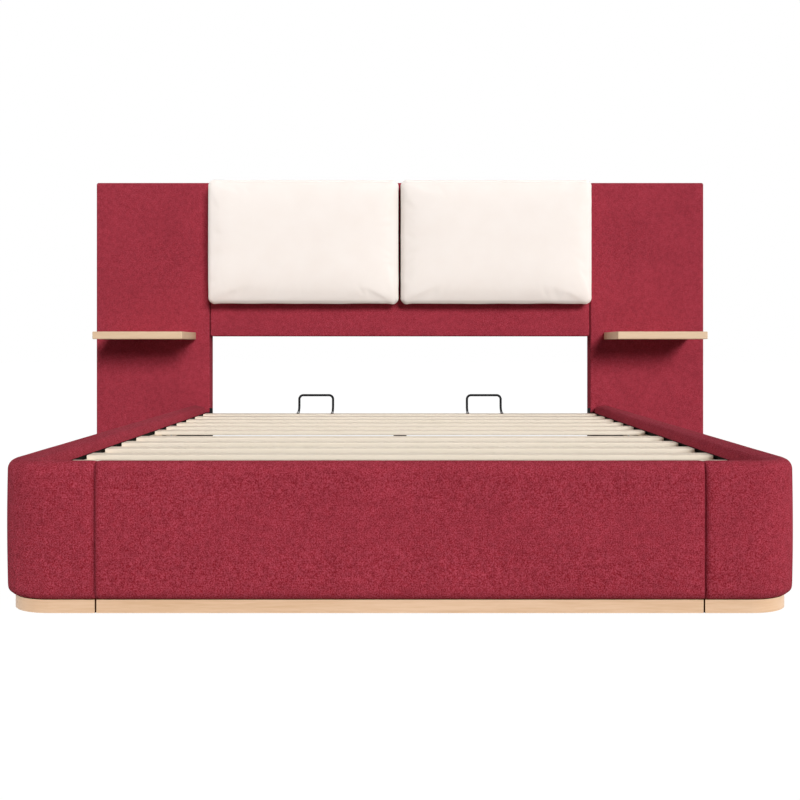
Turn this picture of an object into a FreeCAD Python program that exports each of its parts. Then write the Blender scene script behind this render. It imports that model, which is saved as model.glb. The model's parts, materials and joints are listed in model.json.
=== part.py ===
import FreeCAD, Part
import math
import os

# An upholstered platform bed. X runs across the bed, Y from foot to head, Z up.
# The origin is on the floor under the middle of the overall box. Lengths are millimetres.

# Mattress that the bay is made for
mattress_width = 1524.0
mattress_length = 2032.0
mattress_side_room = 8.0
mattress_end_room = 31.0

# Padded base: two rails with rounded front corners and short returns, and a foot panel between
rail_thickness = 66.0
base_top = 316.0
corner_radius = 110.0
top_roundover = 32.0
bottom_roundover = 24.0
inner_roundover = 7.0
outer_pad = 12.0
inner_pad = 6.0
core_bottom_roundover = 14.0
rail_return = 208.0
base_seam = 2.4
base_lining = 1.5

# Plinth under the base
plinth_height = 30.0
plinth_setback = 16.0
plinth_thickness = 36.0

# Pockets that lighten the timber frames, open on their hidden side
pocket_limit = 215.0
pocket_rib = 36.0
frame_stile = 62.0
face_board = 10.0
rail_pocket_bottom_room = 36.0
rail_pocket_top_room = 20.0
rail_pocket_end_room = 64.0
foot_panel_pocket_end_room = 70.0
hanger_block_half = 62.0

# Slats, ledgers under their ends
slats_per_group = 6
slat_drop = 32.0
slat_thickness = 12.0
slat_width = 66.0
slat_group_gap = 177.0
slat_end_room = 6.0
slat_edge_round = 3.0
first_slat_room = 28.0
last_slat_room = 26.0
ledger_width = 32.0
ledger_height = 20.0
ledger_front_room = 4.0
ledger_head_room = 2.0
ledger_screw_count = 9

# Headboard
wing_width = 449.5
wing_overlap = 15.5
wing_thickness = 76.0
headboard_top = 1196.5
centre_panel_bottom = 587.5
panel_gap = 2.0
front_pad = 10.0
side_pad = 6.0
panel_edge_round = 8.0
panel_lining = 1.5
lining_margin = 5.0
glide_radius = 15.0
glide_height = 6.0
glide_inset = 42.0

# Shelves on the wings, each carried by two hidden rods
shelf_depth = 283.0
shelf_thickness = 28.0
shelf_top = 603.0
shelf_inset = 62.0
shelf_inner_room = 54.5
shelf_edge_round = 3.0
shelf_rod_radius = 6.0
shelf_rod_spacing = 190.0
shelf_rod_in_shelf = 170.0
shelf_rod_in_wing = 58.0
shelf_batten_half = 44.0

# Back cushions and the strips that hold them
cushion_gap = 6.0
cushion_thickness = 104.0
cushion_end_room = 1.5
cushion_bottom_room = 139.5
cushion_top_drop = 4.0
cushion_corner_radius = 30.0
cushion_bottom_swell = 15.0
cushion_top_swell = 6.0
cushion_side_draw = 2.0
cushion_depth_shares = (0.0, 0.13, 0.32, 0.56, 0.75, 0.88, 0.96, 1.0)
cushion_inset_shares = (0.035, 0.006, 0.0, 0.007, 0.032, 0.10, 0.21, 0.34)
cushion_corner_growth_share = 0.2
cushion_corner_limit_share = 0.42
cushion_loft_degree = 2
strip_end_room = 94.0
strip_height = 50.0
strip_thickness = 1.5
strip_inset = 90.0
strip_room = 0.3

# Steel brackets and plates
bracket_plate = 4.0
bracket_inner_reach = 28.0
bracket_plate_width = 80.0
bracket_height = 166.0
bracket_top_drop = 30.0
bracket_tab_width = 12.0
bracket_tab_rise = 17.0
bracket_flange_reach = 27.0
bracket_flange_room = 4.0
bracket_bolt_edge = 27.0
flange_bolt_shift = 28.0
plate_thickness = 4.0
back_plate_length = 130.0
back_plate_height = 44.0
back_plate_low_room = 99.0
back_plate_high_room = 104.5
foot_plate_length = 96.0
foot_plate_height = 90.0
foot_plate_drop = 94.0

# Bolts and screws
bolt_radius = 4.0
bolt_head_radius = 7.0
bolt_head_height = 4.5
bolt_grip = 30.0
rail_bolt_length = 118.0
plate_bolt_edge = 22.0
screw_radius = 2.2
screw_head_radius = 4.4
screw_head_height = 2.6
slat_screw_length = 26.0
ledger_screw_length = 52.0
short_screw_length = 12.0
hole_room = 0.1
cut_overrun = 5.0

# Centre beam, its hanger, legs and levelling feet
beam_width = 40.0
beam_height = 40.0
beam_wall = 2.0
beam_head_room = 4.0
hanger_plate = 3.0
hanger_plate_half = 45.0
hanger_plate_drop = 48.0
hanger_reach = 42.0
hanger_room = 0.3
hanger_bolt_edge = 11.0
leg_radius = 16.0
leg_wall = 1.5
leg_floor_room = 24.0
leg_plate_length = 92.0
leg_plate_thickness = 3.0
leg_plug_height = 30.0
leg_screw_edge = 12.0
foot_stud_radius = 5.0
foot_stud_top = 52.0
foot_pad_radius = 19.0
foot_pad_height = 10.0
foot_pad_edge = 3.0
stud_room = 0.06

# Mattress stops, bent from round bar
stop_offset = 333.0
stop_width = 134.0
stop_wire_radius = 4.5
stop_height = 74.0
stop_knee_rise = 16.0
stop_kick_back = 25.0
stop_bend_radius = 16.0
stop_foot_setback = 41.0
stop_foot_length = 20.0
stop_tab_width = 10.0
stop_tab_length = 22.0
stop_tab_thickness = 4.0

# Plan, from the mattress outwards
bay_half = mattress_width / 2 + mattress_side_room
half_width = bay_half + rail_thickness
bay_length = mattress_length + mattress_end_room
overall_depth = rail_thickness + bay_length + wing_thickness + plate_thickness + bolt_head_height
front = -overall_depth / 2
bay_front = front + rail_thickness
head_front = bay_front + bay_length
head_back = head_front + wing_thickness
rail_end = head_front - bracket_plate
corner_x = half_width - corner_radius
corner_y = front + corner_radius
foot_panel_width = 2 * (half_width - rail_return)
core_inner = rail_thickness - inner_pad
lined_inner = core_inner + base_lining
lined_x = half_width - lined_inner
lined_y = front + lined_inner

# Slats and what is under them
slat_top = base_top - slat_drop
slat_bottom = slat_top - slat_thickness
slat_half = bay_half - slat_end_room
first_slat_front = bay_front + first_slat_room
last_slat_back = head_front - last_slat_room
last_slat_front = last_slat_back - slat_width
slat_steps_length = last_slat_front - first_slat_front - slat_width - slat_group_gap
slat_pitch = slat_steps_length / (2 * (slats_per_group - 1))
front_group_back = first_slat_front + (slats_per_group - 1) * slat_pitch + slat_width
middle_gap_y = front_group_back + slat_group_gap / 2
rail_pocket_low = plinth_height + rail_pocket_bottom_room
rail_pocket_high = slat_bottom - ledger_height - rail_pocket_top_room
beam_bottom = slat_bottom - beam_height
hanger_plate_bottom = beam_bottom - hanger_plate_drop
leg_places = (middle_gap_y, last_slat_front)
stud_bore = foot_stud_radius + stud_room
stop_top = slat_top + stop_height

# Headboard, shelves and cushions
wing_inner_half = bay_half - wing_overlap
wing_outer_half = wing_inner_half + wing_width
panel_core_front = head_front + front_pad
panel_core_back = head_back - panel_lining
shelf_width = wing_width - shelf_inset - shelf_inner_room
shelf_middle_z = shelf_top - shelf_thickness / 2
shelf_outer_x = wing_outer_half - shelf_inset
shelf_middle_x = shelf_outer_x - shelf_width / 2
cushion_width = wing_inner_half - panel_gap - cushion_end_room - cushion_gap / 2
cushion_bottom = centre_panel_bottom + cushion_bottom_room
cushion_top = headboard_top - cushion_top_drop
strip_length = cushion_width - 2 * strip_end_room

# Brackets and plates
bracket_top = base_top - bracket_top_drop
bracket_bottom = bracket_top - bracket_height
bracket_flange_top = slat_top - bracket_flange_room
bracket_bolt_x = half_width - rail_thickness / 2
bracket_bolt_low = bracket_bottom + bracket_bolt_edge
bracket_bolt_high = bracket_flange_top - bracket_bolt_edge
back_plate_low = centre_panel_bottom + back_plate_low_room
back_plate_high = headboard_top - back_plate_high_room
foot_plate_middle = slat_top - foot_plate_drop

up = FreeCAD.Vector(0, 0, 1)
across = FreeCAD.Vector(1, 0, 0)
headward = FreeCAD.Vector(0, 1, 0)
centre = FreeCAD.Vector(0, 0, 0)


def point(x, y, z):
    return FreeCAD.Vector(x, y, z)


def block(low, high):
    """A box between two opposite corners."""
    size = high.sub(low)
    return Part.makeBox(size.x, size.y, size.z, low)


def round_bar(radius, start, end):
    """A cylinder from one point to another."""
    along = end.sub(start)
    return Part.makeCylinder(radius, along.Length, start, along)


def other_side(shape):
    """The mirror image of a piece on the other side of the bed."""
    return shape.mirror(centre, across)


def both_sides(shapes):
    return shapes + [other_side(shape) for shape in shapes]


def without(shape, cutters):
    """A piece less a list of cutters, or the piece itself where the list is empty."""
    if not cutters:
        return shape
    return shape.cut(cutters)


def pocket_spans(low, high):
    """Ends of equal pockets between two places, with a rib between neighbours."""
    count = math.ceil((high - low + pocket_rib) / (pocket_limit + pocket_rib))
    step = (high - low + pocket_rib) / count
    return [(low + i * step, low + (i + 1) * step - pocket_rib) for i in range(count)]


def headed_bar(seat, direction, length, radius, head_radius, head_height):
    """A fastener with its head on the seat, whose shank runs along the direction."""
    shank = round_bar(radius, seat, seat + direction * length)
    head = round_bar(head_radius, seat - direction * head_height, seat)
    return shank.fuse(head).removeSplitter()


def bolt(seat, direction, length):
    return headed_bar(seat, direction, length, bolt_radius, bolt_head_radius, bolt_head_height)


def bolt_hole(seat, direction, length, radius=bolt_radius):
    """The clearance hole for a fastener's shank, which starts a little outside its seat."""
    start = seat - direction * cut_overrun
    return round_bar(radius + hole_room, start, seat + direction * (length + hole_room))


def screw(seat, direction, length):
    return headed_bar(seat, direction, length, screw_radius, screw_head_radius, screw_head_height)


def screw_hole(seat, direction, length):
    return bolt_hole(seat, direction, length, screw_radius)


# Base sections, drawn by distance in from the outer face and height


def rounded_section(corners):
    """A flat face at the front end of the right rail, from (inset, height, radius) corners in order."""
    spots = [point(half_width - inset, corner_y, height) for inset, height, radius in corners]
    bends = []
    for i, (inset, height, radius) in enumerate(corners):
        to_last = (spots[i - 1] - spots[i]).normalize()
        to_next = (spots[(i + 1) % len(spots)] - spots[i]).normalize()
        inward = to_last + to_next
        bend_centre = spots[i] + inward * radius
        bend_middle = bend_centre - inward.normalize() * radius
        bends.append((spots[i] + to_last * radius, bend_middle, spots[i] + to_next * radius))
    outline = []
    for i, (start, middle, stop) in enumerate(bends):
        last_stop = bends[i - 1][2]
        if last_stop.distanceToPoint(start) > hole_room:
            outline.append(Part.LineSegment(last_stop, start).toShape())
        if start.distanceToPoint(stop) > hole_room:
            outline.append(Part.Arc(start, middle, stop).toShape())
    return Part.Face(Part.Wire(outline))


def core_section():
    core_top = base_top - outer_pad
    return rounded_section([
        (outer_pad, plinth_height, core_bottom_roundover),
        (outer_pad, core_top, top_roundover - outer_pad),
        (core_inner, core_top, 0),
        (core_inner, plinth_height, 0),
    ])


def cover_section():
    """The padded cover: outer face, top, and the inner face down to the slats."""
    whole = rounded_section([
        (0, plinth_height, bottom_roundover),
        (0, base_top, top_roundover),
        (rail_thickness, base_top, inner_roundover),
        (rail_thickness, plinth_height, 0),
    ])
    bare_inner_face = rounded_section([
        (core_inner, plinth_height, 0),
        (core_inner, slat_top, 0),
        (rail_thickness, slat_top, 0),
        (rail_thickness, plinth_height, 0),
    ])
    return whole.cut([core_section(), bare_inner_face]).Faces[0]


def lining_section():
    return rounded_section([
        (core_inner, plinth_height, 0),
        (core_inner, slat_top, 0),
        (lined_inner, slat_top, 0),
        (lined_inner, plinth_height, 0),
    ])


def plinth_section():
    plinth_inner = plinth_setback + plinth_thickness
    return rounded_section([
        (plinth_setback, 0, 0),
        (plinth_setback, plinth_height, 0),
        (plinth_inner, plinth_height, 0),
        (plinth_inner, 0, 0),
    ])


def turned_to_front(section):
    """A section turned from the side of the bed to its front."""
    return section.rotated(point(corner_x, corner_y, 0), up, -90)


def along_rail(section):
    """A section carried down the right side, round the front corner and along the return."""
    side = section.extrude(headward * (rail_end - corner_y))
    corner = section.revolve(point(corner_x, corner_y, 0), -up, 90)
    return_end = foot_panel_width / 2 + base_seam / 2
    front_return = turned_to_front(section).extrude(across * (return_end - corner_x))
    return side.fuse([corner, front_return]).removeSplitter()


def along_foot_panel(section):
    panel_half = foot_panel_width / 2 - base_seam / 2
    start = turned_to_front(section).translated(across * (panel_half - corner_x))
    return start.extrude(across * (-2 * panel_half))


# Fasteners, each with the hole that it needs


def rail_end_bolts():
    """Seats on the back of the right wing, for bolts through it into the end of the rail."""
    return [point(bracket_bolt_x, head_back, height) for height in (bracket_bolt_low, bracket_bolt_high)]


def flange_bolts():
    """Seats on the bracket's flange, for bolts into the rail that stay clear of the rail end bolts."""
    seat_y = rail_end - bracket_flange_reach / 2
    seat_x = lined_x - bracket_plate
    heights = (bracket_bolt_low + flange_bolt_shift, bracket_bolt_high - flange_bolt_shift)
    return [point(seat_x, seat_y, height) for height in heights]


def foot_plate_bolts():
    """Seats on the plate behind the right seam of the foot panel."""
    seam_x = foot_panel_width / 2
    reach_x = foot_plate_length / 2 - plate_bolt_edge
    reach_z = foot_plate_height / 2 - plate_bolt_edge
    seat_y = lined_y + plate_thickness
    places = [(x, z) for x in (-reach_x, reach_x) for z in (-reach_z, reach_z)]
    return [point(seam_x + x, seat_y, foot_plate_middle + z) for x, z in places]


def back_plate_bolts():
    """Seats on the two plates behind the right seam of the headboard."""
    reach_x = back_plate_length / 2 - plate_bolt_edge
    seat_y = head_back + plate_thickness
    heights = (back_plate_low, back_plate_high)
    return [point(wing_inner_half + x, seat_y, z) for z in heights for x in (-reach_x, reach_x)]


def hanger_bolts():
    """Seats on the hanger's plate, for bolts into the foot panel."""
    reach = hanger_plate_half - hanger_bolt_edge
    heights = (hanger_plate_bottom + hanger_bolt_edge, slat_bottom - hanger_bolt_edge)
    return [point(x, lined_y + hanger_plate, z) for x in (-reach, reach) for z in heights]


def ledger_screws():
    """Seats on the inner face of the right ledger, between the slats."""
    seat_x = lined_x - ledger_width
    low = ledger_front()
    step = (ledger_back() - low) / ledger_screw_count
    places = [low + (i + 0.5) * step for i in range(ledger_screw_count)]
    return [point(seat_x, y, slat_bottom - ledger_height / 2) for y in places]


def slat_screw_x():
    """Middle of the slat end that lies on the ledger."""
    return (slat_half + lined_x - ledger_width) / 2


def slat_screw_seat(slat_front):
    """Seat in the right end of a slat, sunk so that the mattress clears the screw's head."""
    return point(slat_screw_x(), slat_front + slat_width / 2, slat_top - screw_head_height - hole_room)


def slat_screws():
    return [slat_screw_seat(slat_front) for slat_front in slat_fronts()]


def stop_screws():
    """Seats on the tabs of the right mattress stop."""
    seat_y = stop_tab_front() + stop_tab_length / 2
    seat_z = slat_top + stop_tab_thickness
    legs = (stop_offset - stop_width / 2, stop_offset + stop_width / 2)
    return [point(x, seat_y, seat_z) for x in legs]


def leg_screws():
    """Seats under the legs' top plates."""
    reach = leg_plate_length / 2 - leg_screw_edge
    seat_z = beam_bottom - leg_plate_thickness
    return [point(0, y + offset, seat_z) for y in leg_places for offset in (-reach, reach)]


# Base


def rail_frame():
    """Timber core of the right rail, lightened by pockets behind the lining."""
    core = along_rail(core_section())
    inner_x = half_width - core_inner
    outer_x = half_width - outer_pad - face_board
    pockets = []
    for start, stop in pocket_spans(corner_y, rail_end - rail_pocket_end_room):
        low = point(inner_x - cut_overrun, start, rail_pocket_low)
        pockets.append(block(low, point(outer_x, stop, rail_pocket_high)))
    holes = [bolt_hole(seat, -headward, rail_bolt_length) for seat in rail_end_bolts()]
    holes += [bolt_hole(seat, across, bolt_grip) for seat in flange_bolts()]
    holes += [bolt_hole(seat, -headward, bolt_grip) for seat in foot_plate_bolts()]
    holes += [screw_hole(seat, across, ledger_screw_length) for seat in ledger_screws()]
    return without(core, pockets + holes)


def rail_cover():
    return along_rail(cover_section())


def rail_lining():
    holes = [bolt_hole(seat, across, bolt_grip) for seat in flange_bolts()]
    holes += [bolt_hole(seat, -headward, bolt_grip) for seat in foot_plate_bolts()]
    holes += [screw_hole(seat, across, ledger_screw_length) for seat in ledger_screws()]
    return without(along_rail(lining_section()), holes)


def rail_plinth():
    return along_rail(plinth_section())


def foot_panel_frame():
    """Timber core of the foot panel, solid where the hanger and the plates are bolted."""
    core = along_foot_panel(core_section())
    inner_y = front + core_inner
    outer_y = front + outer_pad + face_board
    pockets = []
    for start, stop in pocket_spans(hanger_block_half, foot_panel_width / 2 - foot_panel_pocket_end_room):
        low = point(start, outer_y, rail_pocket_low)
        pockets.append(block(low, point(stop, inner_y + cut_overrun, rail_pocket_high)))
    holes = both_sides([bolt_hole(seat, -headward, bolt_grip) for seat in foot_plate_bolts()])
    holes += [bolt_hole(seat, -headward, bolt_grip) for seat in hanger_bolts()]
    return without(core, both_sides(pockets) + holes)


def foot_panel_lining():
    holes = both_sides([bolt_hole(seat, -headward, bolt_grip) for seat in foot_plate_bolts()])
    holes += [bolt_hole(seat, -headward, bolt_grip) for seat in hanger_bolts()]
    return without(along_foot_panel(lining_section()), holes)


def foot_plate():
    """Steel plate behind the right seam of the foot panel."""
    seam = point(foot_panel_width / 2, lined_y, foot_plate_middle)
    reach = point(foot_plate_length / 2, 0, foot_plate_height / 2)
    plate = block(seam - reach, seam + reach + headward * plate_thickness)
    holes = [bolt_hole(seat, -headward, bolt_grip) for seat in foot_plate_bolts()]
    return without(plate, holes)


def rail_bracket():
    """Steel bracket at the head end of the right rail: a plate with a tab on top, and a flange."""
    plate_inner = bay_half - bracket_inner_reach
    plate_low = point(plate_inner, rail_end, bracket_bottom)
    plate = block(plate_low, point(plate_inner + bracket_plate_width, head_front, bracket_top))
    tab_high = point(plate_inner + bracket_tab_width, head_front, bracket_top + bracket_tab_rise)
    tab = block(point(plate_inner, rail_end, bracket_top), tab_high)
    flange_low = point(lined_x - bracket_plate, rail_end - bracket_flange_reach, bracket_bottom)
    flange = block(flange_low, point(lined_x, rail_end, bracket_flange_top))
    holes = [bolt_hole(seat, -headward, rail_bolt_length) for seat in rail_end_bolts()]
    holes += [bolt_hole(seat, across, bolt_grip) for seat in flange_bolts()]
    return without(plate.fuse([tab, flange]).removeSplitter(), holes)


def ledger_front():
    return corner_y + ledger_front_room


def ledger_back():
    return rail_end - bracket_flange_reach - ledger_head_room


def ledger():
    """Timber strip along the right rail that carries the slat ends."""
    low = point(lined_x - ledger_width, ledger_front(), slat_bottom - ledger_height)
    strip = block(low, point(lined_x, ledger_back(), slat_bottom))
    holes = [screw_hole(seat, across, ledger_screw_length) for seat in ledger_screws()]
    holes += [screw_hole(seat, -up, slat_screw_length) for seat in slat_screws()]
    return without(strip, holes)


def slat_fronts():
    """Front edge of each slat: two even groups with a wider gap between them."""
    starts = (first_slat_front, front_group_back + slat_group_gap)
    return [start + i * slat_pitch for start in starts for i in range(slats_per_group)]


def slat(slat_front):
    low = point(-slat_half, slat_front, slat_bottom)
    board = block(low, point(slat_half, slat_front + slat_width, slat_top))
    long_edges = [edge for edge in board.Edges if abs(edge.tangentAt(edge.FirstParameter).x) > 0.9]
    board = board.makeFillet(slat_edge_round, long_edges)
    seat = slat_screw_seat(slat_front)
    sink = round_bar(screw_head_radius + hole_room, seat, seat + up * (screw_head_height + cut_overrun))
    holes = both_sides([screw_hole(seat, -up, slat_screw_length), sink])
    if slat_front > last_slat_front - slat_width:
        holes += both_sides([screw_hole(seat, -up, short_screw_length) for seat in stop_screws()])
    return without(board, holes)


# Centre beam and what carries it


def centre_beam():
    beam_front = lined_y + hanger_plate
    beam_back = last_slat_back - beam_head_room
    outer_low = point(-beam_width / 2, beam_front, beam_bottom)
    outer = block(outer_low, point(beam_width / 2, beam_back, slat_bottom))
    bore_half = beam_width / 2 - beam_wall
    bore_low = point(-bore_half, beam_front - cut_overrun, beam_bottom + beam_wall)
    bore = block(bore_low, point(bore_half, beam_back + cut_overrun, slat_bottom - beam_wall))
    holes = [screw_hole(seat, up, short_screw_length) for seat in leg_screws()]
    return without(outer, [bore] + holes)


def beam_hanger():
    """Steel cradle on the foot panel, under and beside the front end of the beam."""
    plate_low = point(-hanger_plate_half, lined_y, hanger_plate_bottom)
    plate = block(plate_low, point(hanger_plate_half, lined_y + hanger_plate, slat_bottom))
    inner_half = beam_width / 2 + hanger_room
    outer_half = inner_half + hanger_plate
    shelf_low = point(-outer_half, lined_y, beam_bottom - hanger_plate)
    cradle = block(shelf_low, point(outer_half, lined_y + hanger_reach, slat_bottom - hanger_plate))
    slot_low = point(-inner_half, lined_y + hanger_plate, beam_bottom)
    slot = block(slot_low, point(inner_half, lined_y + hanger_reach + cut_overrun, slat_bottom))
    holes = [bolt_hole(seat, -headward, bolt_grip) for seat in hanger_bolts()]
    return without(plate.fuse(cradle.cut(slot)).removeSplitter(), holes)


def beam_leg(leg_y):
    """Steel tube with a top plate and a threaded plug for its levelling foot."""
    plate_bottom = beam_bottom - leg_plate_thickness
    tube = round_bar(leg_radius, point(0, leg_y, leg_floor_room), point(0, leg_y, plate_bottom))
    hollow_start = point(0, leg_y, leg_floor_room + leg_plug_height)
    hollow = round_bar(leg_radius - leg_wall, hollow_start, point(0, leg_y, plate_bottom))
    plate_low = point(-beam_width / 2, leg_y - leg_plate_length / 2, plate_bottom)
    plate = block(plate_low, point(beam_width / 2, leg_y + leg_plate_length / 2, beam_bottom))
    bore_start = point(0, leg_y, leg_floor_room - cut_overrun)
    bore = round_bar(stud_bore, bore_start, hollow_start + up * cut_overrun)
    holes = [screw_hole(seat, up, short_screw_length) for seat in leg_screws()]
    return without(tube.cut([hollow, bore]).fuse(plate).removeSplitter(), holes)


def levelling_foot(leg_y):
    """Pad with a threaded stud that screws into a leg."""
    pad = round_bar(foot_pad_radius, point(0, leg_y, 0), point(0, leg_y, foot_pad_height))
    top_edges = [edge for edge in pad.Edges if edge.BoundBox.ZMin > foot_pad_height / 2]
    pad = pad.makeFillet(foot_pad_edge, top_edges)
    stud = round_bar(foot_stud_radius, point(0, leg_y, foot_pad_height), point(0, leg_y, foot_stud_top))
    return pad.fuse(stud).removeSplitter()


# Mattress stops


def stop_tab_front():
    return last_slat_front + stop_foot_setback


def bent_bar(points):
    """Round bar along straight runs joined by tangent arcs."""
    edges = []
    run_start = points[0]
    for before, bend, after in zip(points, points[1:], points[2:]):
        to_last = (before - bend).normalize()
        to_next = (after - bend).normalize()
        half_turn = (math.pi - to_last.getAngle(to_next)) / 2
        trim = stop_bend_radius * math.tan(half_turn)
        middle_dir = (to_last + to_next).normalize()
        arc_middle = bend + middle_dir * (stop_bend_radius / math.cos(half_turn) - stop_bend_radius)
        arc_start = bend + to_last * trim
        arc_stop = bend + to_next * trim
        edges.append(Part.LineSegment(run_start, arc_start).toShape())
        edges.append(Part.Arc(arc_start, arc_middle, arc_stop).toShape())
        run_start = arc_stop
    edges.append(Part.LineSegment(run_start, points[-1]).toShape())
    section = Part.Wire(Part.Circle(points[0], points[1] - points[0], stop_wire_radius).toShape())
    return Part.Wire(edges).makePipeShell([section], True, False)


def mattress_stop():
    """Bent bar with two flat tabs screwed to the last slat, standing behind the mattress."""
    left = stop_offset - stop_width / 2
    right = stop_offset + stop_width / 2
    foot_z = slat_top + stop_wire_radius
    foot_y = stop_tab_front() + stop_tab_length - stop_wire_radius
    heel_y = foot_y + stop_foot_length
    knee_y = heel_y + stop_kick_back
    knee_z = foot_z + stop_knee_rise
    top_z = stop_top - stop_wire_radius
    leg = [(foot_y, foot_z), (heel_y, foot_z), (knee_y, knee_z), (knee_y, top_z)]
    route = [point(left, y, z) for y, z in leg] + [point(right, y, z) for y, z in reversed(leg)]
    bar = bent_bar(route)
    tabs = []
    tab_size = point(stop_tab_width, stop_tab_length, stop_tab_thickness)
    for x in (left, right):
        tab_low = point(x - stop_tab_width / 2, stop_tab_front(), slat_top)
        tabs.append(block(tab_low, tab_low + tab_size))
    holes = [screw_hole(seat, -up, short_screw_length) for seat in stop_screws()]
    return without(bar.fuse(tabs).removeSplitter(), holes)


# Headboard


def soft_box(low, high):
    """A padded box whose edges are rounded, but for those at its back and its foot."""
    box = block(low, high)
    edges = [edge for edge in box.Edges if edge.BoundBox.YMin < high.y - hole_room]
    edges = [edge for edge in edges if edge.BoundBox.ZMax > low.z + hole_room]
    return box.makeFillet(panel_edge_round, edges)


def wing_core_box():
    low = point(wing_inner_half + side_pad, panel_core_front, glide_height)
    return low, point(wing_outer_half - side_pad, panel_core_back, headboard_top - side_pad)


def shelf_rod_places():
    return [shelf_middle_x + offset for offset in (-shelf_rod_spacing / 2, shelf_rod_spacing / 2)]


def shelf_rod(x, room=0):
    """A rod from inside the wing to inside the shelf, or the bore for it."""
    start = point(x, head_front - shelf_rod_in_shelf - room, shelf_middle_z)
    end = point(x, head_front + shelf_rod_in_wing + room, shelf_middle_z)
    return round_bar(shelf_rod_radius + room, start, end)


def shelf_rod_bores():
    return [shelf_rod(x, hole_room) for x in shelf_rod_places()]


def wing_frame():
    """Timber core of the right wing: a face board with stiles and battens behind it."""
    low, high = wing_core_box()
    columns = pocket_spans(low.x + frame_stile, high.x - frame_stile)
    rows = pocket_spans(low.z + frame_stile, shelf_middle_z - shelf_batten_half)
    rows += pocket_spans(shelf_middle_z + shelf_batten_half, high.z - frame_stile)
    pockets = []
    for x_start, x_stop in columns:
        for z_start, z_stop in rows:
            pocket_low = point(x_start, low.y + face_board, z_start)
            pockets.append(block(pocket_low, point(x_stop, high.y + cut_overrun, z_stop)))
    holes = [bolt_hole(seat, -headward, rail_bolt_length) for seat in rail_end_bolts()]
    holes += [bolt_hole(seat, -headward, bolt_grip) for seat in back_plate_bolts()]
    return without(block(low, high), pockets + holes + shelf_rod_bores())


def wing_cover():
    low = point(wing_inner_half, head_front, glide_height)
    padded = soft_box(low, point(wing_outer_half, panel_core_back, headboard_top))
    core = block(*wing_core_box())
    holes = [bolt_hole(seat, -headward, rail_bolt_length) for seat in rail_end_bolts()]
    return without(padded, [core] + holes + shelf_rod_bores())


def wing_lining():
    low = point(wing_inner_half + lining_margin, panel_core_back, glide_height + lining_margin)
    sheet = block(low, point(wing_outer_half - lining_margin, head_back, headboard_top - lining_margin))
    holes = [bolt_hole(seat, -headward, rail_bolt_length) for seat in rail_end_bolts()]
    holes += [bolt_hole(seat, -headward, bolt_grip) for seat in back_plate_bolts()]
    return without(sheet, holes)


def wing_glides():
    """Round glides under the corners of the right wing's core."""
    low, high = wing_core_box()
    columns = (low.x + glide_inset, high.x - glide_inset)
    rows = (low.y + glide_radius, high.y - glide_radius)
    places = [point(x, y, 0) for x in columns for y in rows]
    return [round_bar(glide_radius, place, place + up * glide_height) for place in places]


def centre_core_box():
    half = wing_inner_half - panel_gap - side_pad
    low = point(-half, panel_core_front, centre_panel_bottom + side_pad)
    return low, point(half, panel_core_back, headboard_top - side_pad)


def centre_frame():
    """Timber core of the centre panel."""
    low, high = centre_core_box()
    pockets = []
    for x_start, x_stop in pocket_spans(low.x + frame_stile, high.x - frame_stile):
        for z_start, z_stop in pocket_spans(low.z + frame_stile, high.z - frame_stile):
            pocket_low = point(x_start, low.y + face_board, z_start)
            pockets.append(block(pocket_low, point(x_stop, high.y + cut_overrun, z_stop)))
    holes = both_sides([bolt_hole(seat, -headward, bolt_grip) for seat in back_plate_bolts()])
    return without(block(low, high), pockets + holes)


def centre_cover():
    half = wing_inner_half - panel_gap
    low = point(-half, head_front, centre_panel_bottom)
    box = block(low, point(half, panel_core_back, headboard_top))
    edges = [edge for edge in box.Edges if edge.BoundBox.YMin < panel_core_back - hole_room]
    return box.makeFillet(panel_edge_round, edges).cut(block(*centre_core_box()))


def centre_lining():
    half = wing_inner_half - panel_gap - lining_margin
    low = point(-half, panel_core_back, centre_panel_bottom + lining_margin)
    sheet = block(low, point(half, head_back, headboard_top - lining_margin))
    holes = both_sides([bolt_hole(seat, -headward, bolt_grip) for seat in back_plate_bolts()])
    return without(sheet, holes)


def back_plates():
    """Steel plates across the right seam of the headboard, on its back."""
    plates = []
    holes = [bolt_hole(seat, -headward, bolt_grip) for seat in back_plate_bolts()]
    reach = point(back_plate_length / 2, 0, back_plate_height / 2)
    for height in (back_plate_low, back_plate_high):
        seam = point(wing_inner_half, head_back, height)
        plates.append(without(block(seam - reach, seam + reach + headward * plate_thickness), holes))
    return plates


def shelf():
    """Timber shelf on the right wing, bored for its two rods."""
    low = point(shelf_outer_x - shelf_width, head_front - shelf_depth, shelf_top - shelf_thickness)
    board = block(low, point(shelf_outer_x, head_front, shelf_top))
    edges = [edge for edge in board.Edges if edge.BoundBox.YMin < head_front - hole_room]
    return without(board.makeFillet(shelf_edge_round, edges), shelf_rod_bores())


# Back cushions


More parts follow.
